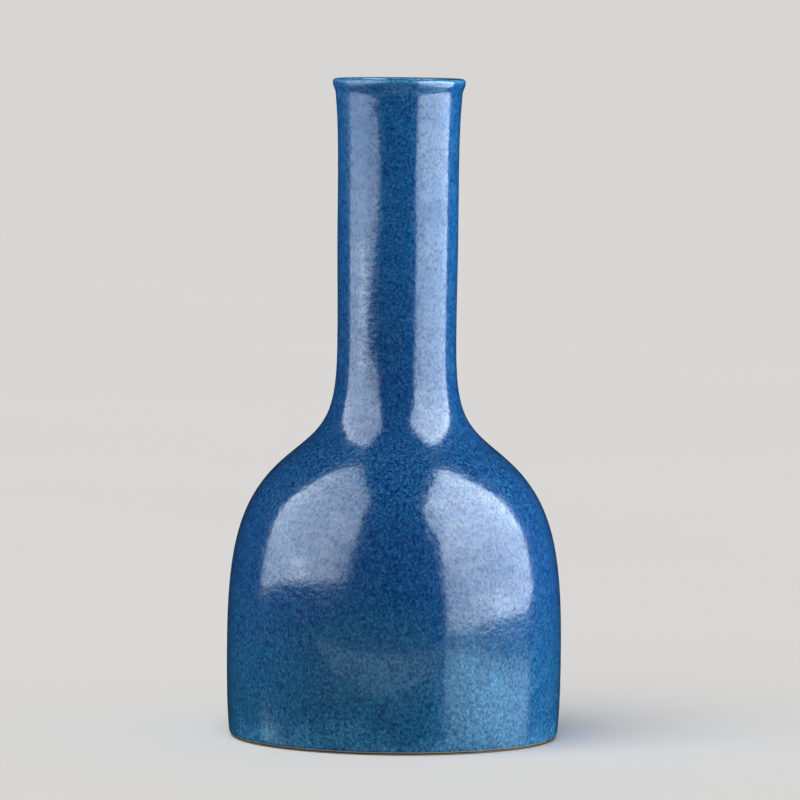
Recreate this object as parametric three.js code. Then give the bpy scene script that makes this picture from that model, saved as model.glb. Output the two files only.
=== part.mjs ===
// Bottle vase: a bell-shaped body under a tall straight neck with a small turned-out lip.
// It is thrown in sections from white clay, luted together with slip, and glazed inside and out.
// Millimetres, +Z up, origin at the centre of the foot, on the surface that the vase stands on.

import * as THREE from 'three';

// Outline of the finished vase, measured over the glaze
const vaseHeight = 230;
const footRadius = 57.6; // of the wall, just above the round of the foot edge
const footEdgeRound = 2.4;
const lowWallPull = 10; // how far the wall runs on upright from the foot edge, and below the belly
const bellyRadius = 58.5;
const bellyHeight = 32;
const domePull = 37; // how far the wall runs on upright above the belly
const shoulderRadius = 37.2; // where the dome turns over into the flare of the neck
const shoulderHeight = 98.7;
const shoulderSlope = 39.6; // degrees from level
const shoulderPull = 21.6; // how far the dome runs straight below that point
const flarePull = 15.7; // how far the flare runs straight above it
const waistRadius = 20.8; // the neck is narrowest here
const waistHeight = 138;
const waistPull = 26.6; // how far the neck runs on upright, below its waist
const neckPull = 25; // how far it runs on upright, above its waist and below the lip
const neckTopRadius = 21.4;
const lipFlareHeight = 16.5; // the turned-out part of the neck, under the rim
const lipFlarePull = 7;
const lipRadius = 23.1;
const lipLean = 16; // degrees from upright, where the flare ends
const lipRound = 1.2; // of both edges of the rim

// Clay wall and its two coats of glaze
const bodyWall = 3.4;
const neckWall = 2.6;
const glazeCoat = 0.5;
const glazeGap = 0.3; // between a coat and the clay under it
const glazeLine = 0.7; // the bare foot shows below this height
const lapDepth = 14; // the outer coat runs over the rim and this far down the neck

// Turned base with its foot ring
const recessDepth = 3.2;
const recessCove = 1.6;
const footRingWidth = 4.6;
const footRingBevel = 0.6;
const baseThickness = 4.6;
const floorFillet = 8;
const bareRing = 1.2; // height of unglazed clay on the inner side of the foot ring

// Joints between the thrown sections
const slipThickness = 1;
const baseJointRise = 1.2; // above the floor inside
const bellyJointRise = 28; // above the belly
const neckJointRise = 13.3; // above the turn of the shoulder

// Faceting: steps around the vase and along each stretch of its outline
const aroundSteps = 40;
const footEdgeSteps = 2;
const lowWallSteps = 2;
const domeSteps = 8;
const flareSteps = 6;
const neckSteps = 2;
const lipFlareSteps = 3;
const roundSteps = 3;

// Sizes that follow from the ones above
const claySeat = glazeCoat + glazeGap; // depth of the clay under the finished surface
const floorHeight = recessDepth + baseThickness;
const filletHeight = floorHeight + floorFillet;
const baseJointHeight = floorHeight + baseJointRise;
const bellyJointHeight = bellyHeight + bellyJointRise;
const neckJointHeight = shoulderHeight + neckJointRise;
const lapHeight = vaseHeight - lapDepth;
const lipTilt = THREE.MathUtils.degToRad(lipLean);
const upLip = new THREE.Vector2(Math.sin(lipTilt), Math.cos(lipTilt));

const porcelainClay = { color: 0xe8e2d4, roughness: 0.85, metalness: 0 };
const lutingSlip = { color: 0xd9d0bd, roughness: 0.9, metalness: 0 };
const speckledBlueGlaze = { color: 0x1f5f97, roughness: 0.14, metalness: 0 };
const plainBlueGlaze = { color: 0x2f7ba3, roughness: 0.2, metalness: 0 };

// A place on the finished surface, with the direction that leads from it into the clay
function place(radius, height, into) {
  return { at: new THREE.Vector2(radius, height), into };
}

// Places along a curve that has the clay on the left of its run
function placesAlong(curve, steps) {
  return Array.from({ length: steps + 1 }, (_, step) => {
    const at = curve.getPoint(step / steps);
    const run = curve.getTangent(step / steps);
    return place(at.x, at.y, new THREE.Vector2(-run.y, run.x));
  });
}

function bend(start, startPull, endPull, end) {
  return new THREE.CubicBezierCurve(start, start.clone().add(startPull), end.clone().sub(endPull), end);
}

function upright(length) {
  return new THREE.Vector2(0, length);
}

function arc(centre, radius, startAngle, endAngle) {
  const clockwise = endAngle < startAngle;
  return new THREE.EllipseCurve(centre.x, centre.y, radius, radius, startAngle, endAngle, clockwise);
}

// Joins stretches that follow each other, keeping one place where two of them meet
function chain(...stretches) {
  return stretches.flatMap((places, i) => (i === 0 ? places : places.slice(1)));
}

function outsidePlaces() {
  const footEdge = new THREE.Vector2(footRadius - footEdgeRound, footEdgeRound);
  const glazeStart = -Math.asin((footEdgeRound - glazeLine) / footEdgeRound);
  const foot = new THREE.Vector2(footRadius, footEdgeRound);
  const belly = new THREE.Vector2(bellyRadius, bellyHeight);
  const shoulder = new THREE.Vector2(shoulderRadius, shoulderHeight);
  const slope = THREE.MathUtils.degToRad(shoulderSlope);
  const upShoulder = new THREE.Vector2(-Math.cos(slope), Math.sin(slope));
  const waist = new THREE.Vector2(waistRadius, waistHeight);
  const neckTop = new THREE.Vector2(neckTopRadius, vaseHeight - lipFlareHeight);
  const lip = new THREE.Vector2(lipRadius, vaseHeight - lipRound * (1 + Math.sin(lipTilt)));
  const dome = bend(belly, upright(domePull), upShoulder.clone().multiplyScalar(shoulderPull), shoulder);
  const flare = bend(shoulder, upShoulder.clone().multiplyScalar(flarePull), upright(waistPull), waist);
  const lipFlare = bend(neckTop, upright(lipFlarePull), upLip.clone().multiplyScalar(lipRound), lip);
  return chain(
    placesAlong(arc(footEdge, footEdgeRound, glazeStart, 0), footEdgeSteps),
    placesAlong(bend(foot, upright(lowWallPull), upright(lowWallPull), belly), lowWallSteps),
    placesAlong(dome, domeSteps),
    placesAlong(flare, flareSteps),
    placesAlong(bend(waist, upright(neckPull), upright(neckPull), neckTop), neckSteps),
    placesAlong(lipFlare, lipFlareSteps),
  );
}

function finishedWall(height) {
  const thinning = THREE.MathUtils.smoothstep(height, shoulderHeight, waistHeight);
  return THREE.MathUtils.lerp(bodyWall, neckWall, thinning) + 2 * claySeat;
}

// The rim: two rounds with a level land between them, from the last place outside to the inside
function rimPlaces(lastOutside) {
  const outer = lastOutside.at.clone().addScaledVector(lastOutside.into, lipRound);
  const land = (finishedWall(vaseHeight) - 2 * lipRound) / Math.cos(lipTilt);
  const inner = new THREE.Vector2(outer.x - land, outer.y);
  return [
    ...placesAlong(arc(outer, lipRound, -lipTilt, Math.PI / 2), roundSteps).slice(1),
    ...placesAlong(arc(inner, lipRound, Math.PI / 2, Math.PI - lipTilt), roundSteps),
  ];
}

// The inside of the wall lies one wall's thickness under the outside, from the lip down to the floor
function insidePlaces(outside) {
  return outside.slice(0, -1).reverse().map(({ at, into }) => {
    const inside = at.clone().addScaledVector(into, finishedWall(at.y));
    return place(inside.x, inside.y, into.clone().negate());
  });
}

// A face lies at one depth under the finished surface
function face(places, depth) {
  return places.map(({ at, into }) => at.clone().addScaledVector(into, depth));
}

// The part of a face between two heights, with cut ends exactly at those heights
function stretch(points, low, high) {
  const kept = [];
  points.forEach((point, i) => {
    const before = points[i - 1] ?? point;
    const levels = point.y > before.y ? [low, high] : [high, low];
    for (const level of levels) {
      const share = (level - before.y) / (point.y - before.y);
      if (share > 0 && share < 1) kept.push(new THREE.Vector2(before.clone().lerp(point, share).x, level));
    }
    if (point.y >= low && point.y <= high) kept.push(point);
  });
  return kept;
}

const outside = outsidePlaces();
const rim = rimPlaces(outside.at(-1));
const inside = insidePlaces(outside);

// The whole inside at one depth: down the wall, round the fillet and across the floor to its centre
function insideFace(depth) {
  const wall = stretch(face(inside, depth), filletHeight, vaseHeight);
  const round = floorFillet - claySeat + depth;
  const centre = new THREE.Vector2(wall.at(-1).x - round, filletHeight);
  const fillet = arc(centre, round, 0, -Math.PI / 2).getPoints(roundSteps);
  return [...wall.slice(0, -1), ...fillet, new THREE.Vector2(0, filletHeight - round)];
}

const clayOutside = face(outside, claySeat);
const clayRim = face(rim, claySeat);
const clayInside = insideFace(claySeat);

// Below the glaze the bare foot runs straight down to the surface that the vase stands on
const bareFootTop = clayOutside[0];
const intoFoot = outside[0].into;
const footContactRadius = bareFootTop.x + (bareFootTop.y * intoFoot.y) / intoFoot.x;

// The hollow under the base, from its centre out to the inner side of the foot ring
function recessFace(depth, low) {
  const footRingInner = footContactRadius - footRingWidth;
  const centre = new THREE.Vector2(footRingInner - recessCove, recessDepth - recessCove);
  return [
    new THREE.Vector2(0, recessDepth - depth),
    ...arc(centre, recessCove - depth, Math.PI / 2, 0).getPoints(roundSteps),
    new THREE.Vector2(footRingInner - depth, low),
  ];
}

function latheSolid(name, outline, finish) {
  const closed = outline[0].x === 0 ? outline : [...outline, outline[0].clone()];
  const geometry = new THREE.LatheGeometry(closed, aroundSteps);
  geometry.rotateX(Math.PI / 2);
  const solid = new THREE.Mesh(geometry, new THREE.MeshStandardMaterial(finish));
  solid.name = name;
  return solid;
}

// The clay wall between two heights, as one ring
function wallSlice(low, high) {
  return [...stretch(clayOutside, low, high), ...stretch(clayInside, low, high)];
}

function neckSection() {
  const low = neckJointHeight + slipThickness;
  const outline = [
    ...stretch(clayOutside, low, vaseHeight),
    ...clayRim,
    ...stretch(clayInside, low, vaseHeight),
  ];
  return latheSolid('neck_section', outline, porcelainClay);
}

function shoulderSection() {
  const outline = wallSlice(bellyJointHeight + slipThickness, neckJointHeight);
  return latheSolid('shoulder_section', outline, porcelainClay);
}

function lowerWallSection() {
  const outline = wallSlice(baseJointHeight + slipThickness, bellyJointHeight);
  return latheSolid('lower_wall_section', outline, porcelainClay);
}

function turnedBase() {
  const recess = recessFace(0, footRingBevel);
  const outline = [
    ...recess,
    new THREE.Vector2(recess.at(-1).x + footRingBevel, 0),
    new THREE.Vector2(footContactRadius, 0),
    ...stretch(clayOutside, 0, baseJointHeight),
    ...stretch(clayInside, 0, baseJointHeight),
  ];
  return latheSolid('turned_base', outline, porcelainClay);
}

function slipJoint(name, height) {
  return latheSolid(name, wallSlice(height, height + slipThickness), lutingSlip);
}

// The outer coat runs from the foot edge over the rim, and meets the inner coat face to face
function outerGlaze() {
  const overTheRim = (depth) => [
    ...face(outside, depth),
    ...face(rim, depth),
    ...stretch(insideFace(depth), lapHeight, vaseHeight),
  ];
  const outline = [...overTheRim(0), ...overTheRim(glazeCoat).reverse()];
  return latheSolid('outer_glaze', outline, speckledBlueGlaze);
}

function innerGlaze() {
  const downInside = (depth) => stretch(insideFace(depth), 0, lapHeight);
  const outline = [...downInside(glazeCoat).reverse(), ...downInside(0)];
  return latheSolid('inner_glaze', outline, plainBlueGlaze);
}

function baseGlaze() {
  const outline = [...recessFace(claySeat, bareRing), ...recessFace(glazeGap, bareRing).reverse()];
  return latheSolid('base_glaze', outline, plainBlueGlaze);
}

const bottleVase = new THREE.Group();
bottleVase.add(
  neckSection(),
  shoulderSection(),
  lowerWallSection(),
  turnedBase(),
  slipJoint('neck_slip_joint', neckJointHeight),
  slipJoint('belly_slip_joint', bellyJointHeight),
  slipJoint('base_slip_joint', baseJointHeight),
  outerGlaze(),
  innerGlaze(),
  baseGlaze(),
);

export default bottleVase;
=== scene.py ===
"""The bottle vase as it comes from the kiln: a speckled blue glaze over porcelain.

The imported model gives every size. Each coat of glaze and the turned base is thrown again here, from
the section of its node, as one smooth round wall with the small unevenness of a hand-thrown pot.
The clay sections and the rings of slip inside keep the shape of their nodes.
"""
import math

import bpy
import numpy as np
from mathutils import Matrix, Vector, noise


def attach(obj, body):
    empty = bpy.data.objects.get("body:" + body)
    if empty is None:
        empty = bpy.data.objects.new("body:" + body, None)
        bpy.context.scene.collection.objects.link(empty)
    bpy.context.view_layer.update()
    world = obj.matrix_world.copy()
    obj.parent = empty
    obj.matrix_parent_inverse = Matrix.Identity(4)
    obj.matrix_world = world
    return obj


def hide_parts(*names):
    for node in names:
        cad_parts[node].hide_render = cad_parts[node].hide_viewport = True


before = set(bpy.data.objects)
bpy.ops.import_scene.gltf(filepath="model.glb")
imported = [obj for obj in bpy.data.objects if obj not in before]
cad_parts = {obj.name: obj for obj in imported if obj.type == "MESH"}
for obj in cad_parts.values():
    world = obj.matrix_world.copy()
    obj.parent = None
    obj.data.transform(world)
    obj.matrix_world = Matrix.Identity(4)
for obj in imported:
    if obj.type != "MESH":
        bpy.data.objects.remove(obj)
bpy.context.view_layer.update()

MM = 0.001

# How finely the pot is thrown again
AROUND = 224
LONGEST_STEP = 2.2 * MM
WIDEST_TURN = math.radians(5)
CORNER_TURN = math.radians(40)
LIP_FOOT = 219 * MM
LIP_STEP = 0.55 * MM
BEND_SAMPLES = 9
HIDDEN_COARSER = 2.5
HIDDEN_ROOM = 0.1
CLOSEST_POINTS = 0.02 * MM
MOST_TRIMMED = 0.35

# How the section is read from the mesh of a node
SAME_PLACE = 0.0001 * MM
NEAR_ZERO = 0.001 * MM

# The small unevenness that the potter's hands leave
HAND_WAVE = 0.014 * MM
HAND_WAVE_LENGTH = 11 * MM
THROWING_LINE = 0.004 * MM
THROWING_LINE_PITCH = 7.5 * MM
GLAZE_EDGE_WANDER = 0.16 * MM
GLAZE_EDGE_WAVES = 9
GLAZE_EDGE_REACH = 2.2 * MM

# The rolled edge of the lip and the tuck that the potter's thumb leaves under it, on the outside
TUCK_DEPTH = 0.22 * MM
TUCK_LOW = (221.6 * MM, 225.2 * MM)
TUCK_HIGH = (225.3 * MM, 227.7 * MM)
ROLL_SWELL = 0.05 * MM
ROLL_LOW = (226.4 * MM, 227.6 * MM)
ROLL_HIGH = (228.6 * MM, 229.6 * MM)
LIP_INSIDE = 20.5 * MM

# The low wall, drawn in to the foot in one bow, where the node has two long straight steps
LOW_WALL_STEPS = 2
LOW_WALL_POINTS = 6

# A bead of glaze that ran to the edge of the foot
BEAD_ANGLE = math.radians(-58.5)
BEAD_WIDTH = math.radians(0.9)
BEAD_DROP = 0.35 * MM
BEAD_SWELL = 0.16 * MM

# The camera: its place and reach in metres, its lens and film in millimetres
CAMERA_PLACE = (0.0013, -2.2, 0.276)
CAMERA_DIP = math.radians(4.113)
CAMERA_ROLL = math.radians(0.55)
CAMERA_LENS = 284.07
CAMERA_FILM = 36
CAMERA_REACH = 200

# The light of the studio: how far the panels stand to each side, and how brightly each one glows
BOX_DISTANCE = 0.45
WASH_DISTANCE = 0.5
SOFTBOX_TINT = (0.865, 1.0, 1.12)
GLEAM_TINT = (0.66, 1.0, 1.18)
WASH_TINT = (0.82, 0.97, 1.0)
LEFT_BOX_LIGHT = 3.35
LEFT_BOX_HOT_SPOT = 3.1
RIGHT_BOX_LIGHT = 3.62
RIGHT_BOX_TOP_LIGHT = 5.7
RIGHT_BOX_HOT_SPOT = 2.2
RIGHT_BOX_RIM = 1.4
LEFT_GLEAM_LIGHT = 0.9
RIGHT_GLEAM_LIGHT = 1.55
FRONT_GLEAM_LIGHT = 0.82
LIP_GLEAM_LIGHT = 0.40
LEFT_WASH_LIGHT = 1.55
RIGHT_WASH_LIGHT = 3.55
TOP_WASH_LIGHT = 0.13
ROOM_FILL = 0.335
ROOM_IN_GLOSS = 0.012
ROOM_SEEN = 0.50

# The floor, and the sun that lights it alone
FLOOR_HALF = 60
FLOOR_SUN_LIGHT = 2.1
FLOOR_SUN_HEADING = (0.35, 0.45, -1)
FLOOR_SUN_WIDTH = math.radians(60)
FLOOR_COLOUR = (0.80, 0.79, 0.775, 1)
FLOOR_SHADE = (0.77, 0.76, 0.745, 1)

# Glaze colours, as linear light
DEEP_BLUE = (0.0033, 0.064, 0.226, 1)
# The neck blue is also mixed into the shoulder as painted light from above
NECK_BLUE = (0.0033, 0.089, 0.275, 1)
FOOT_TURQUOISE = (0.0055, 0.101, 0.208, 1)
NAVY_SPECK = (0.0004, 0.017, 0.112, 1)
TURQUOISE_FLECK = (0.037, 0.180, 0.375, 1)
MILKY_FLECK = (0.085, 0.215, 0.400, 1)
# Pale thin glaze; also used for the painted highlight on the lip and the painted reflection low on the
# right
THIN_GLAZE_AND_SHEEN = (0.082, 0.330, 0.600, 1)
PALE_FLECK = (0.130, 0.450, 0.780, 1)
BARE_EDGE = (0.42, 0.33, 0.22, 1)
PLAIN_BLUE = (0.016, 0.120, 0.280, 1)
PALE_POOL = (0.050, 0.230, 0.400, 1)

# Clay and slip colours, as linear light
PORCELAIN = (0.62, 0.57, 0.49, 1)
PORCELAIN_SHADE = (0.46, 0.40, 0.32, 1)
FOOT_RING_DARK = (0.030, 0.018, 0.011, 1)
IRON_SPECK = (0.12, 0.07, 0.04, 1)
SLIP = (0.50, 0.43, 0.33, 1)
SLIP_SHADE = (0.38, 0.31, 0.22, 1)

# Gloss of the fired glaze and of the bare clay
GLAZE_IOR = 1.52
TOP_COAT_IOR = 1.5
CLAY_IOR = 1.5

# Where the speckled glaze changes. Each pair is where a change starts and where it is whole: heights,
# places across to the right, and for the mouth the distance from the axis
TURQUOISE_BELOW = (60 * MM, 34 * MM)
TURQUOISE_AT_FOOT = (40 * MM, 5 * MM)
LESS_TURQUOISE_RIGHT = (0.0, 50 * MM)
# The shoulder band: paler blue there is painted light from above, and it carries more specks
SHOULDER_FROM = (74 * MM, 90 * MM)
SHOULDER_TO = (112 * MM, 97 * MM)
NECK_FROM = (120 * MM, 180 * MM)
# The paler patch low on the right side: partly thin glaze, partly a painted reflection
PALE_SHEEN_SIDE_FROM = (8 * MM, 26 * MM)
PALE_SHEEN_SIDE_TO = (48 * MM, 34 * MM)
PALE_SHEEN_SIDE_BELOW = (44 * MM, 20 * MM)
THIN_FOOT_BELOW = (12 * MM, 1 * MM)
# The pale lip: partly thin glaze, partly a painted highlight
LIP_THIN_AND_SHEEN_FROM = (228.2 * MM, 229.7 * MM)
SPECKS_CHANGE_BELOW = (60 * MM, 20 * MM)
MOTTLED_BELOW = (90 * MM, 25 * MM)
MOTTLED_FROM = (105 * MM, 130 * MM)
MOUTH_WITHIN = (20.4 * MM, 19.2 * MM)
POURED_BELOW = (227 * MM, 217 * MM)
BARE_BELOW = (1.25 * MM, 0.95 * MM)

# How far the glaze's own level rises and falls round the vase
TIDE_WANDER = 6 * MM

# The dull veil on the left of the neck, and the faint dull ring in its upper half
VEIL_FROM = (112 * MM, 135 * MM)
VEIL_THICKER_FROM = (165 * MM, 216 * MM)
VEIL_LEFT_OF = (-4 * MM, -12 * MM)
RING_HEIGHT = 181 * MM
RING_WANDER = 4 * MM
RING_FADES = (2 * MM, 7 * MM)

# Shifts to far places on the noise, so that no kind of speck, patch or wisp follows another
BRIGHT_SHIFT = (0.31, 0.17, 0.23)
MILKY_SHIFT = (0.57, 0.71, 0.13)
DULL_SHIFT = (0.83, 0.41, 0.67)
MOTTLE_SHIFT = (0.4, 0.2, 0.6)
WISP_SHIFT = (0.07, 0.03, 0.11)

# The foot ring darkened nearly to black: the heights where it starts, and where it ends
FOOT_DARK_FROM = (0.02 * MM, 0.2 * MM)
FOOT_DARK_TO = (2.2 * MM, 4.5 * MM)


# Shapes

def section_of(node):
    """The outline of a round node, in order, as (radius, height) pairs, and whether it is closed.

    It is the cut through the mesh at y = 0, on the side where x is positive.
    """
    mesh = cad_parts[node].data
    place_of, points, index = {}, [], []
    for vertex in mesh.vertices:
        place = tuple(round(c / SAME_PLACE) for c in vertex.co)
        if place not in place_of:
            place_of[place] = len(points)
            points.append(vertex.co.copy())
        index.append(place_of[place])
    in_cut = [abs(p.y) < NEAR_ZERO and p.x > -NEAR_ZERO for p in points]
    joined = {}
    for edge in mesh.edges:
        a, b = (index[v] for v in edge.vertices)
        if a != b and in_cut[a] and in_cut[b]:
            joined.setdefault(a, set()).add(b)
            joined.setdefault(b, set()).add(a)
    ends = [i for i in joined if len(joined[i]) == 1]
    start = min(ends or joined, key=lambda i: (points[i].z, points[i].x))
    order, last, here = [start], None, start
    while True:
        ahead = [i for i in joined[here] if i != last]
        if not ahead:
            break
        following = max(ahead, key=lambda i: points[i].x) if last is None else ahead[0]
        if following == start:
            break
        order.append(following)
        last, here = here, following
    closed = not ends
    return np.array([(max(points[i].x, 0.0), points[i].z) for i in order]), closed


def split_at_corners(outline, closed):
    """The outline as stretches that are smooth inside, each ending where the next begins."""
    count = len(outline)
    corners = [0]
    for i in range(1, count if closed else count - 1):
        before = outline[i] - outline[i - 1]
        after = outline[(i + 1) % count] - outline[i]
        turn = math.atan2(before[0] * after[1] - before[1] * after[0], before @ after)
        if abs(turn) > CORNER_TURN:
            corners.append(i)
    if closed:
        outline = np.vstack([outline, outline[:1]])
        corners.append(count)
    else:
        corners.append(count - 1)
    return [outline[a:b + 1] for a, b in zip(corners, corners[1:])]


def natural_spline(along, values):
    """The second derivatives of the smooth curve through values, which is straight at both ends."""
    count = len(along)
    gap = np.diff(along)
    system, rhs = np.eye(count), np.zeros((count, values.shape[1]))
    for i in range(1, count - 1):
        system[i, i - 1:i + 2] = gap[i - 1] / 6, (gap[i - 1] + gap[i]) / 3, gap[i] / 6
        rhs[i] = (values[i + 1] - values[i]) / gap[i] - (values[i] - values[i - 1]) / gap[i - 1]
    return np.linalg.solve(system, rhs)


def smooth_stretch(points, coarser=1.0):
    """A finer row of points on the smooth curve through a stretch of the outline."""
    along = np.concatenate([[0], np.cumsum(np.linalg.norm(np.diff(points, axis=0), axis=1))])
    bend = natural_spline(along, points)
    fine = [points[:1]]
    for i in range(len(points) - 1):
        gap = along[i + 1] - along[i]
        share = np.linspace(0, 1, BEND_SAMPLES)[:, None]
        walk = np.diff(curve_between(points, bend, i, gap, share), axis=0)
        heading = np.unwrap(np.arctan2(walk[:, 1], walk[:, 0]))
        turn = np.abs(np.diff(heading)).sum()
        longest = LIP_STEP if min(points[i][1], points[i + 1][1]) > LIP_FOOT else LONGEST_STEP
        steps = max(1, math.ceil(max(gap / longest, turn / WIDEST_TURN) / coarser))
        share = np.linspace(0, 1, steps + 1)[1:, None]
        fine.append(curve_between(points, bend, i, gap, share))
    return np.vstack(fine)


def curve_between(points, bend, i, gap, share):
    """Points of the smooth curve between outline points i and i + 1."""
    rest = 1 - share
    return (rest * points[i] + share * points[i + 1]
            + gap * gap / 6 * ((rest ** 3 - rest) * bend[i] + (share ** 3 - share) * bend[i + 1]))


def soften(corner, before, after, steps=3):
    """The points that round a corner off, from the point before it to the point after it."""
    share = np.linspace(0, 1, steps + 1)[:, None]
    return (1 - share) ** 2 * before + 2 * share * (1 - share) * corner + share ** 2 * after


def bowed_low_wall(outline):
    """The coat's outline with the low wall drawn in to the foot in one even bow."""
    belly = int(np.argmax(outline[:, 0]))
    foot = belly - LOW_WALL_STEPS
    share = np.linspace(1, 0, LOW_WALL_POINTS + 1)[1:-1]
    drawn = outline[foot] - outline[belly]
    bow = outline[belly] + np.column_stack([drawn[0] * share ** 3, drawn[1] * share])
    return np.vstack([outline[:foot + 1], bow, outline[belly:]])


def fired_outline(node, seen, softness, coat=False):
    """The node's whole outline, smooth, with soft corners.

    It comes with how much room each step has on the map for its length, and whether it is closed.
    The stretches that are seen are finer, and have more room.
    """
    outline, closed = section_of(node)
    if coat:
        outline = bowed_low_wall(outline)
    stretches = split_at_corners(outline, closed)
    rows, rooms = [], []
    for number, stretch in enumerate(stretches):
        in_sight = number in seen
        fine = smooth_stretch(stretch, 1.0 if in_sight else HIDDEN_COARSER)
        at_start = closed or number > 0
        at_end = closed or number < len(stretches) - 1
        fine = trimmed(fine, softness if at_start else 0, softness if at_end else 0)
        if rows:
            corner = soften(stretch[0], rows[-1][-1], fine[0])[1:-1]
            rows.append(corner)
            rooms.append(np.full(len(corner), 1.0 if in_sight else HIDDEN_ROOM))
        rows.append(fine)
        rooms.append(np.full(len(fine), 1.0 if in_sight else HIDDEN_ROOM))
    if closed:
        corner = soften(outline[0], rows[-1][-1], rows[0][0])[1:-1]
        rows.append(corner)
        rooms.append(np.full(len(corner), HIDDEN_ROOM))
    return np.vstack(rows), np.concatenate(rooms), closed


def trimmed(row, off_start, off_end):
    """The row of points with a length cut off at its start and at its end."""
    along = np.concatenate([[0], np.cumsum(np.linalg.norm(np.diff(row, axis=0), axis=1))])
    most = MOST_TRIMMED * along[-1]
    first, last = min(off_start, most), along[-1] - min(off_end, most)
    kept = along[(along > first + CLOSEST_POINTS) & (along < last - CLOSEST_POINTS)]
    wanted = np.concatenate([[first], kept, [last]])
    return np.column_stack([np.interp(wanted, along, row[:, k]) for k in range(2)])


def rising(value, low, high):
    """0 below low, 1 above high, and smooth between."""
    share = min(1.0, max(0.0, (value - low) / (high - low)))
    return share * share * (3 - 2 * share)


def lip_roll(radius, height):
    """How far the lip swells out, or the wall is drawn in under it, on the outside alone."""
    if radius < LIP_INSIDE:
        return 0.0
    swell = ROLL_SWELL * (rising(height, *ROLL_LOW) - rising(height, *ROLL_HIGH))
    return swell - TUCK_DEPTH * (rising(height, *TUCK_LOW) - rising(height, *TUCK_HIGH))


def by_hand(radius, angle, height):
    """How far the potter's hands push the wall out or in at a place on it."""
    place = Vector((radius * math.cos(angle), radius * math.sin(angle), height))
    wave = HAND_WAVE * noise.noise(place / HAND_WAVE_LENGTH)
    turns = height / THROWING_LINE_PITCH + angle / math.tau
    return wave + THROWING_LINE * math.sin(math.tau * turns)


def glaze_edge(radius, angle, height):
    """How the coat's lower edge wanders up and down round the foot, and the bead that hangs there."""
    near = max(0.0, 1 - height / GLAZE_EDGE_REACH) ** 2
    if near == 0:
        return 0.0, 0.0
    around = Vector((math.cos(angle), math.sin(angle), 0)) * GLAZE_EDGE_WAVES
    rise = GLAZE_EDGE_WANDER * noise.noise(around) * near
    off = math.remainder(angle - BEAD_ANGLE, math.tau) / BEAD_WIDTH
    bead = math.exp(-off * off) * near
    return BEAD_SWELL * bead, rise - BEAD_DROP * bead


def turned_rings(outline, hand, coat):
    """The points of the wall, ring by ring, as the hands and the glaze leave them."""
    angles = math.pi / 2 + np.arange(AROUND) * math.tau / AROUND
    points, rings = [], []
    for radius, height in outline:
        if radius < NEAR_ZERO:
            rings.append([len(points)] * AROUND)
            points.append((0.0, 0.0, height))
            continue
        ring = []
        for angle in angles:
            r, z = radius + hand * by_hand(radius, angle, height), height
            if coat:
                r += lip_roll(radius, height)
                swell, rise = glaze_edge(radius, angle, height)
                r, z = r + swell, z + rise
            ring.append(len(points))
            points.append((r * math.cos(angle), r * math.sin(angle), z))
        rings.append(ring)
    return points, rings


def map_levels(outline, room, closed):
    """How high on the map each ring lies, from 0 to 1."""
    lengths = np.linalg.norm(np.diff(np.vstack([outline, outline[:1]]), axis=0), axis=1) * room
    if not closed:
        lengths[-1] = 0
    return np.concatenate([[0], np.cumsum(lengths)]) / lengths.sum()


def wall_faces(rings, levels, closed):
    """The faces between the rings, and the place on the map of each of their corners."""
    faces, corners = [], []
    for i in range(len(rings) if closed else len(rings) - 1):
        low, high = rings[i], rings[(i + 1) % len(rings)]
        for j in range(AROUND):
            k = (j + 1) % AROUND
            left, right = j / AROUND, (j + 1) / AROUND
            face = [(low[j], left, levels[i]), (low[k], right, levels[i]),
                    (high[k], right, levels[i + 1]), (high[j], left, levels[i + 1])]
            if low[j] == low[k]:
                face.pop(1)
            if high[j] == high[k]:
                face.pop(-1)
            faces.append([corner[0] for corner in face])
            corners.extend(corner[1:] for corner in face)
    return faces, corners


def thrown(name, node, material, seen, softness, hand=1.0, coat=False):
    """Throws a node again as one fine round wall, lays out its map and puts it in the node's place."""
    outline, room, closed = fired_outline(node, seen, softness, coat)
    points, rings = turned_rings(outline, hand, coat)
    faces, corners = wall_faces(rings, map_levels(outline, room, closed), closed)
    mesh = bpy.data.meshes.new(name)
    mesh.from_pydata(points, [], faces)
    mesh.polygons.foreach_set("use_smooth", [True] * len(faces))
    layout = mesh.uv_layers.new(name="OFBake")
    layout.data.foreach_set("uv", np.array(corners, np.float32).ravel())
    mesh.materials.append(material)
    mesh.validate()
    piece = bpy.data.objects.new(name, mesh)
    bpy.context.scene.collection.objects.link(piece)
    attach(piece, "root")
    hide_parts(node)
    return piece


# Finishes

def feed(tree, socket, value):
    """Gives a socket a plain value, or the output of another node."""
    if isinstance(value, bpy.types.NodeSocket):
        tree.links.new(value, socket)
    else:
        socket.default_value = value


def put(tree, kind, inputs=None, **settings):
    """Adds a node. Its inputs are named or numbered, and each is a value or another node's output."""
    node = tree.nodes.new(kind)
    for name, value in settings.items():
        setattr(node, name, value)
    for name, value in (inputs or {}).items():
        feed(tree, node.inputs[name], value)
    return node


def reckon(tree, operation, *values):
    """One sum on values or on other nodes' outputs."""
    return put(tree, "ShaderNodeMath", dict(enumerate(values)), operation=operation).outputs[0]


def reckon_all(tree, operation, values):
    """The same sum over a row of values, from the first to the last."""
    whole, *others = values
    for value in others:
        whole = reckon(tree, operation, whole, value)
    return whole


def product(tree, *factors):
    return reckon_all(tree, "MULTIPLY", factors)


def total(tree, *terms):
    return reckon_all(tree, "ADD", terms)


def rest_of(tree, share):
    """What a share leaves of the whole."""
    return reckon(tree, "SUBTRACT", 1.0, share)


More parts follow.
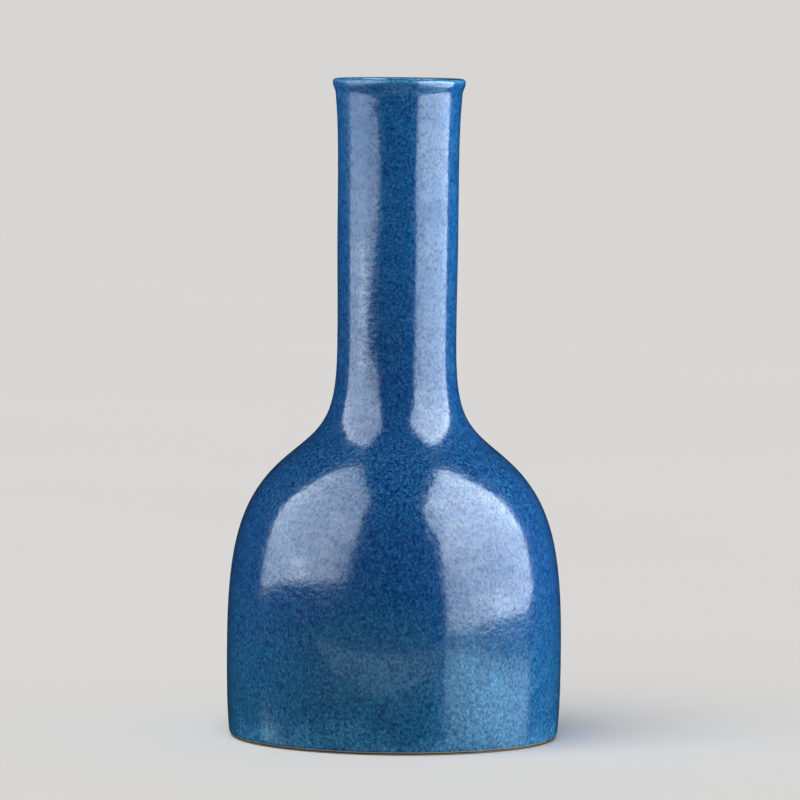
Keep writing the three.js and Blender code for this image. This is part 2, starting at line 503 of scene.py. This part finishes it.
def between(tree, value, low, high, to_low=0.0, to_high=1.0):
    """Turns value softly from to_low, at low, into to_high, at high."""
    inputs = {"Value": value, "From Min": low, "From Max": high, "To Min": to_low, "To Max": to_high}
    return put(tree, "ShaderNodeMapRange", inputs, interpolation_type="SMOOTHSTEP").outputs[0]


def eased(tree, share, at_none, at_full):
    """Turns a share softly into at_none where it is 0, and into at_full where it is 1."""
    return between(tree, share, 0.0, 1.0, at_none, at_full)


def blend(tree, share, first, second):
    """Mixes two colours: all first where share is 0, all second where it is 1."""
    inputs = {0: share, 6: first, 7: second}
    return put(tree, "ShaderNodeMix", inputs, data_type="RGBA").outputs[2]


def cloud(tree, place, size, detail=2.0, roughness=0.5, warp=0.0):
    """Soft noise whose patches are about size across, around one half."""
    scale = reckon(tree, "DIVIDE", 1.0, size)
    inputs = {"Vector": place, "Scale": scale, "Detail": detail, "Roughness": roughness,
              "Distortion": warp}
    return put(tree, "ShaderNodeTexNoise", inputs).outputs[0]


def moved(tree, place, stretch=(1, 1, 1), shift=(0, 0, 0)):
    """The same place on a pattern that is stretched and shifted."""
    longer = put(tree, "ShaderNodeVectorMath", {0: place, 1: stretch}, operation="MULTIPLY")
    away = put(tree, "ShaderNodeVectorMath", {0: longer.outputs[0], 1: shift}, operation="ADD")
    return away.outputs[0]


def from_axis(tree, apart):
    """How far a place is from the axis of the vase."""
    across = put(tree, "ShaderNodeCombineXYZ", {"X": apart["X"], "Y": apart["Y"]}).outputs[0]
    return put(tree, "ShaderNodeVectorMath", {0: across}, operation="LENGTH").outputs["Value"]


def effect(name, takes, gives):
    """A node group for an effect that several finishes share, with its named inputs and outputs."""
    tree = bpy.data.node_groups.new(name, "ShaderNodeTree")
    for title, value in takes.items():
        kind = "NodeSocketVector" if value is None else "NodeSocketFloat"
        socket = tree.interface.new_socket(title, in_out="INPUT", socket_type=kind)
        if value is not None:
            socket.default_value = value
    for title in gives:
        tree.interface.new_socket(title, in_out="OUTPUT", socket_type="NodeSocketFloat")
    return tree, put(tree, "NodeGroupInput").outputs, put(tree, "NodeGroupOutput").inputs


def use(tree, group, inputs):
    return put(tree, "ShaderNodeGroup", inputs, node_tree=group).outputs


def make_specks():
    """Fine blown specks: a mask that is 1 on them."""
    takes = {"Place": None, "Size": 1 * MM, "Level": 0.56, "Softness": 0.05}
    tree, given, out = effect("blown_specks", takes, ["Mask"])
    grain = cloud(tree, given["Place"], given["Size"], detail=1.5, roughness=0.6)
    low = reckon(tree, "SUBTRACT", given["Level"], given["Softness"])
    high = total(tree, given["Level"], given["Softness"])
    feed(tree, out["Mask"], between(tree, grain, low, high))
    return tree


def make_pooling():
    """Thick and thin places of a fired glaze: Cloud over a hand's breadth, Wisp in drawn-out veils."""
    takes = {"Place": None, "Size": 26 * MM}
    tree, given, out = effect("glaze_pooling", takes, ["Cloud", "Wisp"])
    wide = cloud(tree, given["Place"], given["Size"], detail=3.0, warp=0.6)
    feed(tree, out["Cloud"], between(tree, wide, 0.3, 0.7))
    drawn = moved(tree, given["Place"], (1, 1, 2.2), WISP_SHIFT)
    narrow = cloud(tree, drawn, product(tree, given["Size"], 0.35), detail=4.0, warp=1.2)
    feed(tree, out["Wisp"], between(tree, narrow, 0.38, 0.66))
    return tree


def make_ripple():
    """The orange-peel ripple and the pinholes of a fired glaze, as a height."""
    takes = {"Place": None, "Size": 1.6 * MM, "Pinholes": 0.5}
    tree, given, out = effect("glaze_ripple", takes, ["Height"])
    peel = cloud(tree, given["Place"], given["Size"], detail=2.0, roughness=0.45)
    sparse = reckon(tree, "DIVIDE", 0.18, given["Size"])
    inputs = {"Vector": given["Place"], "Scale": sparse}
    spot = put(tree, "ShaderNodeTexVoronoi", inputs).outputs["Distance"]
    hole = product(tree, between(tree, spot, 0.0, 0.05, to_low=1.0, to_high=0.0), given["Pinholes"])
    feed(tree, out["Height"], reckon(tree, "SUBTRACT", peel, hole))
    return tree


def make_turning():
    """The rings that a turning tool or a wet hand leaves round the pot, as a height."""
    takes = {"Place": None, "Pitch": 0.6 * MM}
    tree, given, out = effect("turning_rings", takes, ["Height"])
    apart = put(tree, "ShaderNodeSeparateXYZ", {"Vector": given["Place"]}).outputs
    radius = from_axis(tree, apart)
    sway = product(tree, cloud(tree, given["Place"], 14 * MM), 1.5 * MM)
    way = total(tree, radius, apart["Z"], sway)
    turns = product(tree, reckon(tree, "DIVIDE", way, given["Pitch"]), math.tau)
    feed(tree, out["Height"], between(tree, reckon(tree, "SINE", turns), -1.0, 1.0))
    return tree


def make_grain():
    """The dry grain of fired clay: Height for its tooth, Shade for its uneven colour."""
    takes = {"Place": None, "Size": 0.5 * MM}
    tree, given, out = effect("clay_grain", takes, ["Height", "Shade"])
    tooth = cloud(tree, given["Place"], given["Size"], detail=4.0, roughness=0.7)
    feed(tree, out["Height"], tooth)
    wide = cloud(tree, given["Place"], product(tree, given["Size"], 30), detail=4.0)
    feed(tree, out["Shade"], between(tree, wide, 0.35, 0.65))
    return tree


def finish(name, **constants):
    """A new material, with its node tree, its shader and the place on the object."""
    material = bpy.data.materials.new(name)
    material.use_nodes = True
    tree = material.node_tree
    tree.nodes.clear()
    shader = put(tree, "ShaderNodeBsdfPrincipled")
    for title, value in constants.items():
        shader.inputs[title.replace("_", " ")].default_value = value
    put(tree, "ShaderNodeOutputMaterial", {"Surface": shader.outputs[0]})
    place = put(tree, "ShaderNodeTexCoord").outputs["Object"]
    return material, tree, shader, place


def relief(tree, shader, height, depth):
    """Raises the surface by height times depth, in metres."""
    bump = put(tree, "ShaderNodeBump", {"Strength": 1.0, "Distance": depth, "Height": height})
    feed(tree, shader.inputs["Normal"], bump.outputs[0])


specks, pooling, ripple = make_specks(), make_pooling(), make_ripple()
turning, grain = make_turning(), make_grain()


def glaze_ground(tree, apart, tide, shoulder_light_and_specks):
    """The blue under the specks, and how pale it is: thin at the foot, paler low on the right (partly
    thin glaze, partly a painted reflection) and on the lip (partly thin glaze, partly a painted
    highlight). The shoulder gets the paler neck blue as painted light from above.
    """
    low = total(tree, between(tree, tide, *TURQUOISE_BELOW, to_high=0.75),
                between(tree, tide, *TURQUOISE_AT_FOOT, to_high=0.25))
    low = product(tree, low, between(tree, apart["X"], *LESS_TURQUOISE_RIGHT, to_low=1.0, to_high=0.6))
    # The shoulder gets the paler neck blue: painted light from above
    upper = total(tree, between(tree, apart["Z"], *NECK_FROM), product(tree, shoulder_light_and_specks, 2.0))
    colour = blend(tree, upper, DEEP_BLUE, NECK_BLUE)
    colour = blend(tree, low, colour, FOOT_TURQUOISE)
    # Paler low on the right: partly thin glaze, partly a painted reflection
    pale_sheen_side = product(tree, between(tree, apart["X"], *PALE_SHEEN_SIDE_FROM),
                        between(tree, apart["X"], *PALE_SHEEN_SIDE_TO), between(tree, tide, *PALE_SHEEN_SIDE_BELOW))
    # thin holds the thin foot and the paler right side, whose paleness is partly a painted reflection
    thin = reckon(tree, "MAXIMUM", pale_sheen_side, between(tree, tide, *THIN_FOOT_BELOW))
    colour = blend(tree, product(tree, thin, 0.22), colour, THIN_GLAZE_AND_SHEEN)
    # The pale lip: partly thin glaze, partly a painted highlight
    lip = between(tree, apart["Z"], *LIP_THIN_AND_SHEEN_FROM)
    return blend(tree, lip, colour, THIN_GLAZE_AND_SHEEN), reckon(tree, "MAXIMUM", thin, lip)


def blow_specks(tree, place, colour, tide, shoulder_light_and_specks, pale, dark):
    """Turquoise, navy and milky specks over the ground, the first two thicker on the shoulder."""
    fleck = blend(tree, product(tree, pale, 0.5), TURQUOISE_FLECK, PALE_FLECK)
    bright = use(tree, specks, {"Place": moved(tree, place, (1, 1, 0.85), BRIGHT_SHIFT),
                                "Size": 0.95 * MM, "Level": 0.56, "Softness": 0.14})
    bright_share = total(tree, between(tree, tide, *SPECKS_CHANGE_BELOW, to_low=0.54, to_high=0.72),
                         product(tree, shoulder_light_and_specks, 1.6))
    colour = blend(tree, product(tree, bright["Mask"], bright_share), colour, fleck)
    dark_share = total(tree, between(tree, tide, *SPECKS_CHANGE_BELOW, to_low=0.74, to_high=0.7),
                       shoulder_light_and_specks)
    colour = blend(tree, product(tree, dark, dark_share), colour, NAVY_SPECK)
    milk = use(tree, specks, {"Place": moved(tree, place, (1, 1, 0.9), MILKY_SHIFT),
                              "Size": 0.8 * MM, "Level": 0.66, "Softness": 0.05})
    return blend(tree, product(tree, milk["Mask"], 0.4), colour, MILKY_FLECK)


def mottle_glaze(tree, place, colour, tide, height):
    """Soft paler and darker patches in the glaze, most of all on the neck and low down."""
    patches = cloud(tree, moved(tree, place, shift=MOTTLE_SHIFT), 5 * MM, detail=2.0)
    much = total(tree, between(tree, tide, *MOTTLED_BELOW, to_low=0.05, to_high=0.12),
                 between(tree, height, *MOTTLED_FROM, to_high=0.12))
    paler = product(tree, between(tree, patches, 0.5, 0.72), much)
    colour = blend(tree, paler, colour, TURQUOISE_FLECK)
    deeper = product(tree, between(tree, patches, 0.5, 0.28), much)
    return blend(tree, deeper, colour, NAVY_SPECK)


def dull_ring(tree, height, cloudy):
    """A faint wandering ring round the neck where the gloss is duller."""
    wobble = eased(tree, cloudy, -RING_WANDER, RING_WANDER)
    off = reckon(tree, "SUBTRACT", total(tree, height, wobble), RING_HEIGHT)
    return between(tree, reckon(tree, "ABSOLUTE", off), *RING_FADES, to_low=0.35, to_high=0.0)


def glaze_ends(tree, place, apart, colour):
    """The poured glaze that takes over inside the mouth, and the bare edge at the foot."""
    in_mouth = product(tree, between(tree, from_axis(tree, apart), *MOUTH_WITHIN),
                       between(tree, apart["Z"], *POURED_BELOW))
    colour = blend(tree, in_mouth, colour, poured_colour(tree, place))
    return blend(tree, between(tree, apart["Z"], *BARE_BELOW), colour, BARE_EDGE)


def dull_veil(tree, apart):
    """How dull the gloss is on the left of the neck, most of all towards the lip."""
    veil = total(tree, between(tree, apart["Z"], *VEIL_FROM, to_high=0.17),
                 between(tree, apart["Z"], *VEIL_THICKER_FROM, to_high=0.68))
    return product(tree, veil, between(tree, apart["X"], *VEIL_LEFT_OF))


def speckled_gloss(tree, shader, place, apart, thick, dark):
    """The coat's gloss, duller in wisps, on specks, under the veil and along the ring."""
    veil = dull_veil(tree, apart)
    ring = dull_ring(tree, apart["Z"], thick["Cloud"])
    dull = use(tree, specks, {"Place": moved(tree, place, (1, 1, 0.85), DULL_SHIFT),
                              "Size": 1.05 * MM, "Level": 0.5, "Softness": 0.15})["Mask"]
    rough = total(tree, eased(tree, thick["Wisp"], 0.13, 0.2), product(tree, veil, 0.12))
    gloss = product(tree, eased(tree, thick["Wisp"], 1.0, 0.65), eased(tree, dull, 1.0, 0.88),
                    eased(tree, dark, 1.0, 0.44), rest_of(tree, veil), rest_of(tree, ring))
    feed(tree, shader.inputs["Roughness"], rough)
    feed(tree, shader.inputs["Coat Weight"], gloss)


def speckled_glaze():
    """Blue blown through gauze in fine specks, bluer above and more turquoise towards the foot, with
    painted light from above on the shoulder, a painted reflection low on the right and a painted
    highlight on the lip.
    """
    material, tree, shader, place = finish(
        "speckled_blue_glaze", IOR=GLAZE_IOR, Coat_IOR=TOP_COAT_IOR, Coat_Roughness=0.045)
    apart = put(tree, "ShaderNodeSeparateXYZ", {"Vector": place}).outputs
    thick = use(tree, pooling, {"Place": place, "Size": 26 * MM})
    tide = total(tree, apart["Z"], eased(tree, thick["Cloud"], -TIDE_WANDER, TIDE_WANDER))
    shoulder_light_and_specks = product(tree, between(tree, apart["Z"], *SHOULDER_FROM, to_high=0.25),
                          between(tree, apart["Z"], *SHOULDER_TO))
    dark = use(tree, specks, {"Place": moved(tree, place, (1, 1, 0.85)),
                              "Size": 1.05 * MM, "Level": 0.56, "Softness": 0.14})["Mask"]
    colour, pale = glaze_ground(tree, apart, tide, shoulder_light_and_specks)
    colour = blow_specks(tree, place, colour, tide, shoulder_light_and_specks, pale, dark)
    colour = mottle_glaze(tree, place, colour, tide, apart["Z"])
    feed(tree, shader.inputs["Base Color"], glaze_ends(tree, place, apart, colour))
    speckled_gloss(tree, shader, place, apart, thick, dark)
    peel = use(tree, ripple, {"Place": place, "Size": 2.0 * MM, "Pinholes": 0.4})
    streak = cloud(tree, moved(tree, place, (1, 1, 1.5)), 2.6 * MM, detail=3.0)
    relief(tree, shader, total(tree, peel["Height"], product(tree, streak, 1.7)), 0.055 * MM)
    return material


def poured_colour(tree, place):
    """The colour of the glaze that was poured inside: paler in clouds, with a few darker flecks."""
    thick = use(tree, pooling, {"Place": place, "Size": 18 * MM})
    colour = blend(tree, thick["Cloud"], PLAIN_BLUE, PALE_POOL)
    fleck = use(tree, specks, {"Place": place, "Size": 1.4 * MM, "Level": 0.63, "Softness": 0.06})
    return blend(tree, product(tree, fleck["Mask"], 0.5), colour, DEEP_BLUE)


def plain_glaze():
    """The coat inside and under the base: poured, not blown on."""
    material, tree, shader, place = finish(
        "plain_blue_glaze", IOR=GLAZE_IOR, Coat_IOR=TOP_COAT_IOR, Coat_Roughness=0.05)
    thick = use(tree, pooling, {"Place": place, "Size": 18 * MM})
    feed(tree, shader.inputs["Base Color"], poured_colour(tree, place))
    feed(tree, shader.inputs["Roughness"], eased(tree, thick["Wisp"], 0.14, 0.22))
    feed(tree, shader.inputs["Coat Weight"], eased(tree, thick["Wisp"], 0.9, 0.6))
    peel = use(tree, ripple, {"Place": place, "Size": 2.0 * MM, "Pinholes": 0.6})
    relief(tree, shader, peel["Height"], 0.03 * MM)
    return material


def fired_porcelain():
    """Bare porcelain: off-white and dry, turned smooth, and dark brown, nearly black, up the foot ring.
    """
    material, tree, shader, place = finish("porcelain_clay", IOR=CLAY_IOR)
    dry = use(tree, grain, {"Place": place, "Size": 0.45 * MM})
    rings = use(tree, turning, {"Place": place, "Pitch": 0.7 * MM})
    colour = blend(tree, dry["Shade"], PORCELAIN, PORCELAIN_SHADE)
    iron = use(tree, specks, {"Place": place, "Size": 1.3 * MM, "Level": 0.72, "Softness": 0.02})
    colour = blend(tree, product(tree, iron["Mask"], 0.7), colour, IRON_SPECK)
    height = put(tree, "ShaderNodeSeparateXYZ", {"Vector": place}).outputs["Z"]
    # brushed: the foot ring darkened nearly to black, from just above the floor up to a few millimetres
    brushed = product(tree, between(tree, height, *FOOT_DARK_FROM, to_high=0.95),
                      between(tree, height, *FOOT_DARK_TO, to_low=1.0, to_high=0.0))
    colour = blend(tree, brushed, colour, FOOT_RING_DARK)
    feed(tree, shader.inputs["Base Color"], colour)
    rough = between(tree, dry["Height"], 0.3, 0.7, to_low=0.55, to_high=0.75)
    feed(tree, shader.inputs["Roughness"], rough)
    tooth = total(tree, rings["Height"], product(tree, dry["Height"], 0.8))
    relief(tree, shader, tooth, 0.03 * MM)
    return material


def dried_slip():
    """Luting slip: the same clay, brushed on wet, darker and coarser than the thrown wall."""
    material, tree, shader, place = finish("luting_slip", IOR=CLAY_IOR)
    dry = use(tree, grain, {"Place": place, "Size": 0.8 * MM})
    strokes = use(tree, turning, {"Place": place, "Pitch": 0.35 * MM})
    colour = blend(tree, dry["Shade"], SLIP, SLIP_SHADE)
    feed(tree, shader.inputs["Base Color"], colour)
    rough = between(tree, dry["Height"], 0.3, 0.7, to_low=0.7, to_high=0.9)
    feed(tree, shader.inputs["Roughness"], rough)
    relief(tree, shader, total(tree, strokes["Height"], dry["Height"]), 0.05 * MM)
    return material


speckled, plain, porcelain, slip = speckled_glaze(), plain_glaze(), fired_porcelain(), dried_slip()

outside = thrown("outer_glaze_coat", "outer_glaze", speckled,
                 seen=[0], softness=0.22 * MM, coat=True)
lining = thrown("inner_glaze_lining", "inner_glaze", plain,
                seen=[2], softness=0.12 * MM, hand=2.0)
underside = thrown("base_glaze_coat", "base_glaze", plain,
                   seen=[0], softness=0.12 * MM)
foot = thrown("turned_foot", "turned_base", porcelain,
              seen=[0, 1, 2, 3], softness=0.18 * MM, hand=0.5)

for node, material in {
    "neck_section": porcelain, "shoulder_section": porcelain, "lower_wall_section": porcelain,
    "neck_slip_joint": slip, "belly_slip_joint": slip, "base_slip_joint": slip,
}.items():
    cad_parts[node].material_slots[0].material = material


# Studio

def pale_paper():
    """The matt pale paper that the floor is laid with."""
    material, tree, shader, place = finish("pale_paper", Roughness=0.9, IOR=1.3)
    soft = cloud(tree, place, 0.5, detail=3.0)
    feed(tree, shader.inputs["Base Color"], blend(tree, soft, FLOOR_COLOUR, FLOOR_SHADE))
    return material


def lay_floor():
    """A plain floor that only the camera sees, so that it gives no light or gleam to the vase."""
    mesh = bpy.data.meshes.new("studio_floor")
    corners = [(x * FLOOR_HALF, y * FLOOR_HALF, 0) for x, y in ((-1, -1), (1, -1), (1, 1), (-1, 1))]
    mesh.from_pydata(corners, [], [(0, 1, 2, 3)])
    mesh.materials.append(pale_paper())
    floor = bpy.data.objects.new("studio_floor", mesh)
    bpy.context.scene.collection.objects.link(floor)
    floor.visible_glossy = floor.visible_diffuse = floor.visible_shadow = False
    return floor


def receivers(name, objects):
    """A collection of the only objects that a lamp lights."""
    lit = bpy.data.collections.new(name)
    for item in objects:
        lit.objects.link(item)
    return lit


def panel(name, middle, facing, width, height, light, lit, shade=None, shape="RECTANGLE"):
    """A glowing panel that shows in the gloss alone.

    Its brightness is light times its shade, which is made from the place on the panel.
    """
    lamp = bpy.data.lights.new(name, "AREA")
    lamp.shape = shape
    lamp.size, lamp.size_y = width, height
    lamp.color = SOFTBOX_TINT
    lamp.energy = light * width * height * math.pi * (math.pi / 4 if shape == "ELLIPSE" else 1)
    box = bpy.data.objects.new(name, lamp)
    box.location = middle
    box.rotation_euler = Vector(facing).to_track_quat("-Z", "Y").to_euler()
    box.visible_camera = False
    box.visible_diffuse = False
    bpy.context.scene.collection.objects.link(box)
    box.light_linking.receiver_collection = lit
    if shade is not None:
        lamp.use_nodes = True
        tree = lamp.node_tree
        tree.nodes.clear()
        place = put(tree, "ShaderNodeNewGeometry").outputs["Position"]
        apart = put(tree, "ShaderNodeSeparateXYZ", {"Vector": place}).outputs
        glow = put(tree, "ShaderNodeEmission", {"Strength": shade(tree, apart["Y"], apart["Z"])})
        put(tree, "ShaderNodeOutputLight", {"Surface": glow.outputs[0]})
    return box


def beside(name, side, front, back, low, high, light, lit, shade=None):
    """A panel beside the vase, from front to back in y and from low to high in z."""
    middle = (side, (front + back) / 2, (low + high) / 2)
    facing = (-math.copysign(1, side), 0, 0)
    return panel(name, middle, facing, back - front, high - low, light, lit, shade)


def gleam(box):
    """Gives a panel the bluer tint of the light that comes from below."""
    box.data.color = GLEAM_TINT


def wash(box):
    """Turns a panel into one that lights the body of the glaze and doesn't show in the gloss."""
    box.data.color = WASH_TINT
    box.visible_diffuse, box.visible_glossy = True, False


def above(tree, value, edge, soft):
    """1 above the edge and 0 below it, with a soft step between."""
    return between(tree, reckon(tree, "SUBTRACT", value, edge), -soft, soft)


def glow_spot(tree, y, z, middle_y, spread_y, middle_z, spread_z):
    """A soft oval spot that is 1 in its middle."""
    across = reckon(tree, "DIVIDE", reckon(tree, "SUBTRACT", y, middle_y), spread_y)
    up = reckon(tree, "DIVIDE", reckon(tree, "SUBTRACT", z, middle_z), spread_z)
    away = total(tree, product(tree, across, across), product(tree, up, up))
    return reckon(tree, "EXPONENT", product(tree, away, -1.0))


def left_box_shade(tree, y, z):
    """The left box: a slanted, bowed bottom edge with a hot spot above it and a dim front corner.

    Its front edge fades out, over the longest way where it is low. Its back edge lies further back
    the higher it is.
    """
    forward = reckon(tree, "SUBTRACT", 0.05, y)
    slant = reckon(tree, "MULTIPLY_ADD", forward, 0.03, 0.120)
    hump = glow_spot(tree, y, z, middle_y=-0.17, spread_y=0.12, middle_z=0.10, spread_z=1.0)
    bottom = total(tree, product(tree, forward, slant), 0.061, product(tree, hump, 0.010))
    back = total(tree, between(tree, z, 0.05, 0.40, to_low=0.082, to_high=0.127),
                 between(tree, z, 0.60, 0.80, to_high=0.05))
    front = between(tree, z, 0.15, 0.60, to_low=-0.44, to_high=-0.70)
    spot = glow_spot(tree, y, z, middle_y=-0.18, spread_y=0.095, middle_z=0.128, spread_z=0.032)
    glow = reckon(tree, "MULTIPLY_ADD", spot, LEFT_BOX_HOT_SPOT, LEFT_BOX_LIGHT)
    rim = between(tree, y, -0.02, 0.08, to_low=1.0,
                  to_high=between(tree, z, 0.18, 0.30, to_low=0.92, to_high=1.18))
    dim_corner = product(tree, between(tree, y, -0.34, -0.62), between(tree, z, 0.14, 0.20),
                         between(tree, z, 0.50, 0.36, to_high=0.28))
    low = between(tree, z, 0.08, 0.25, to_low=0.80, to_high=1.0)
    high = between(tree, z, 0.5, 1.0, to_low=1.0, to_high=0.78)
    top = between(tree, z, 1.25, 1.80, to_low=1.0, to_high=0.0)
    return product(tree, glow, above(tree, z, bottom, soft=0.006), above(tree, back, y, soft=0.02),
                   between(tree, y, -0.90, front), rim, rest_of(tree, dim_corner), low, top, high)


def right_box_shade(tree, y, z):
    """The right box: brighter above, with a hot spot low down, a bright back rim and stepped edges."""
    front = total(tree, between(tree, z, 0.10, 0.16, to_low=-0.64, to_high=-0.68),
                  between(tree, z, 0.50, 0.72, to_high=-0.15))
    back = total(tree, between(tree, z, 0.022, 0.06, to_low=0.07, to_high=0.135),
                 between(tree, z, 0.65, 0.85, to_high=0.045))
    back = product(tree, back, between(tree, z, 0.30, 0.60, to_low=1.0, to_high=0.87))
    bottom = between(tree, y, -0.75, -0.05, to_low=0.003, to_high=0.030)
    glow = between(tree, z, 0.06, 0.40, RIGHT_BOX_LIGHT, RIGHT_BOX_TOP_LIGHT)
    spot = glow_spot(tree, y, z, middle_y=-0.14, spread_y=0.15, middle_z=0.052, spread_z=0.03)
    rim = product(tree, between(tree, y, 0.0, 0.10), between(tree, z, 0.15, 0.26),
                  between(tree, z, 0.50, 0.90, to_low=1.0, to_high=0.0))
    glow = total(tree, glow, product(tree, spot, RIGHT_BOX_HOT_SPOT), product(tree, rim, RIGHT_BOX_RIM))
    fore = between(tree, y, -0.75, -0.30, to_low=0.70, to_high=1.0)
    top = between(tree, z, 1.0, 1.48, to_low=1.0, to_high=0.0)
    return product(tree, glow, above(tree, y, front, soft=0.05), fore,
                   above(tree, back, y, soft=0.02), above(tree, z, bottom, soft=0.008), top)


def left_gleam_shade(tree, y, z):
    """The gleam from below the left box, fainter the lower it is."""
    edge = reckon(tree, "MULTIPLY_ADD", y, 0.2, -0.075)
    return product(tree, above(tree, edge, z, soft=0.03), between(tree, z, -0.30, -0.05),
                   above(tree, 0.07, y, soft=0.03), above(tree, y, -0.12, soft=0.12))


def right_gleam_shade(tree, y, z):
    """The gleam from below the right box, fainter the lower it is."""
    edge = between(tree, y, -0.62, -0.44, to_low=-0.026, to_high=-0.015)
    faintest = between(tree, y, -0.60, -0.10, to_low=-0.22, to_high=-0.15)
    return product(tree, above(tree, edge, z, soft=0.010),
                   between(tree, z, faintest, -0.03, to_low=0.3, to_high=1.0),
                   above(tree, 0.088, y, soft=0.04),
                   between(tree, y, -0.75, -0.40, to_low=0.90, to_high=1.0))


def room_light():
    """The room: pale where the camera sees it, soft fill on everything, dark in the gloss."""
    world = bpy.data.worlds.new("studio_room")
    bpy.context.scene.world = world
    world.use_nodes = True
    tree = world.node_tree
    tree.nodes.clear()
    ray = put(tree, "ShaderNodeLightPath").outputs
    level = put(tree, "ShaderNodeMix", {0: ray["Is Glossy Ray"], 2: ROOM_FILL, 3: ROOM_IN_GLOSS})
    level = put(tree, "ShaderNodeMix", {0: ray["Is Camera Ray"], 2: level.outputs[0], 3: ROOM_SEEN})
    glow = put(tree, "ShaderNodeBackground", {"Color": (1, 1, 1, 1), "Strength": level.outputs[0]})
    put(tree, "ShaderNodeOutputWorld", {"Surface": glow.outputs[0]})


def hang_panels(lit):
    """The two softboxes, the fainter gleams from below, and the washes of soft light."""
    beside("left_softbox", -BOX_DISTANCE, front=-0.92, back=0.21, low=0.03, high=1.82,
           light=1.0, lit=lit, shade=left_box_shade)
    beside("right_softbox", BOX_DISTANCE, front=-0.90, back=0.21, low=-0.02, high=1.5,
           light=1.0, lit=lit, shade=right_box_shade)
    gleam(beside("left_gleam", -BOX_DISTANCE, front=-0.40, back=0.14, low=-0.40, high=-0.04,
                 light=LEFT_GLEAM_LIGHT, lit=lit, shade=left_gleam_shade))
    gleam(beside("right_gleam", BOX_DISTANCE, front=-0.67, back=0.16, low=-0.40, high=0.0,
                 light=RIGHT_GLEAM_LIGHT, lit=lit, shade=right_gleam_shade))
    gleam(panel("front_gleam", middle=(-0.175, -0.85, -0.066), facing=(0.1, 1, 0), width=1.75,
                height=0.052, light=FRONT_GLEAM_LIGHT, lit=lit, shape="ELLIPSE"))
    panel("lip_gleam", middle=(0.2, -2.0, -1.3), facing=(0, 1, 0.65), width=4.0,
          height=0.65, light=LIP_GLEAM_LIGHT, lit=lit, shape="ELLIPSE")
    wash(beside("left_wash", -WASH_DISTANCE, front=-0.60, back=0.45, low=-0.10, high=0.90,
                light=LEFT_WASH_LIGHT, lit=lit))
    wash(beside("right_wash", WASH_DISTANCE, front=-0.38, back=0.50, low=-0.30, high=0.80,
                light=RIGHT_WASH_LIGHT, lit=lit))
    wash(panel("top_wash", middle=(0, -0.1, 1.3), facing=(0, 0, -1), width=1.2, height=1.2,
               light=TOP_WASH_LIGHT, lit=lit))


def light_floor(floor):
    """A wide soft sun that lights the floor alone, so that the vase throws a soft shadow on it."""
    sun = bpy.data.lights.new("floor_sun", "SUN")
    sun.energy, sun.angle = FLOOR_SUN_LIGHT, FLOOR_SUN_WIDTH
    daylight = bpy.data.objects.new("floor_sun", sun)
    daylight.rotation_euler = Vector(FLOOR_SUN_HEADING).to_track_quat("-Z", "Y").to_euler()
    daylight.light_linking.receiver_collection = receivers("lit_by_the_sun", [floor])
    bpy.context.scene.collection.objects.link(daylight)


def set_camera():
    """A long lens in front of the vase, a little above it and tipped down to it."""
    camera = bpy.data.objects.new("camera", bpy.data.cameras.new("camera"))
    camera.data.lens = CAMERA_LENS
    camera.data.sensor_width = CAMERA_FILM
    camera.data.clip_end = CAMERA_REACH
    turn = Matrix.Rotation(math.pi / 2 - CAMERA_DIP, 4, "X") @ Matrix.Rotation(CAMERA_ROLL, 4, "Z")
    camera.matrix_world = Matrix.Translation(CAMERA_PLACE) @ turn
    bpy.context.scene.collection.objects.link(camera)
    bpy.context.scene.camera = camera
    bpy.context.scene.view_settings.view_transform = "Standard"


floor = lay_floor()
room_light()
hang_panels(receivers("lit_by_the_softboxes", (outside, lining, underside, foot)))
light_floor(floor)
set_camera()
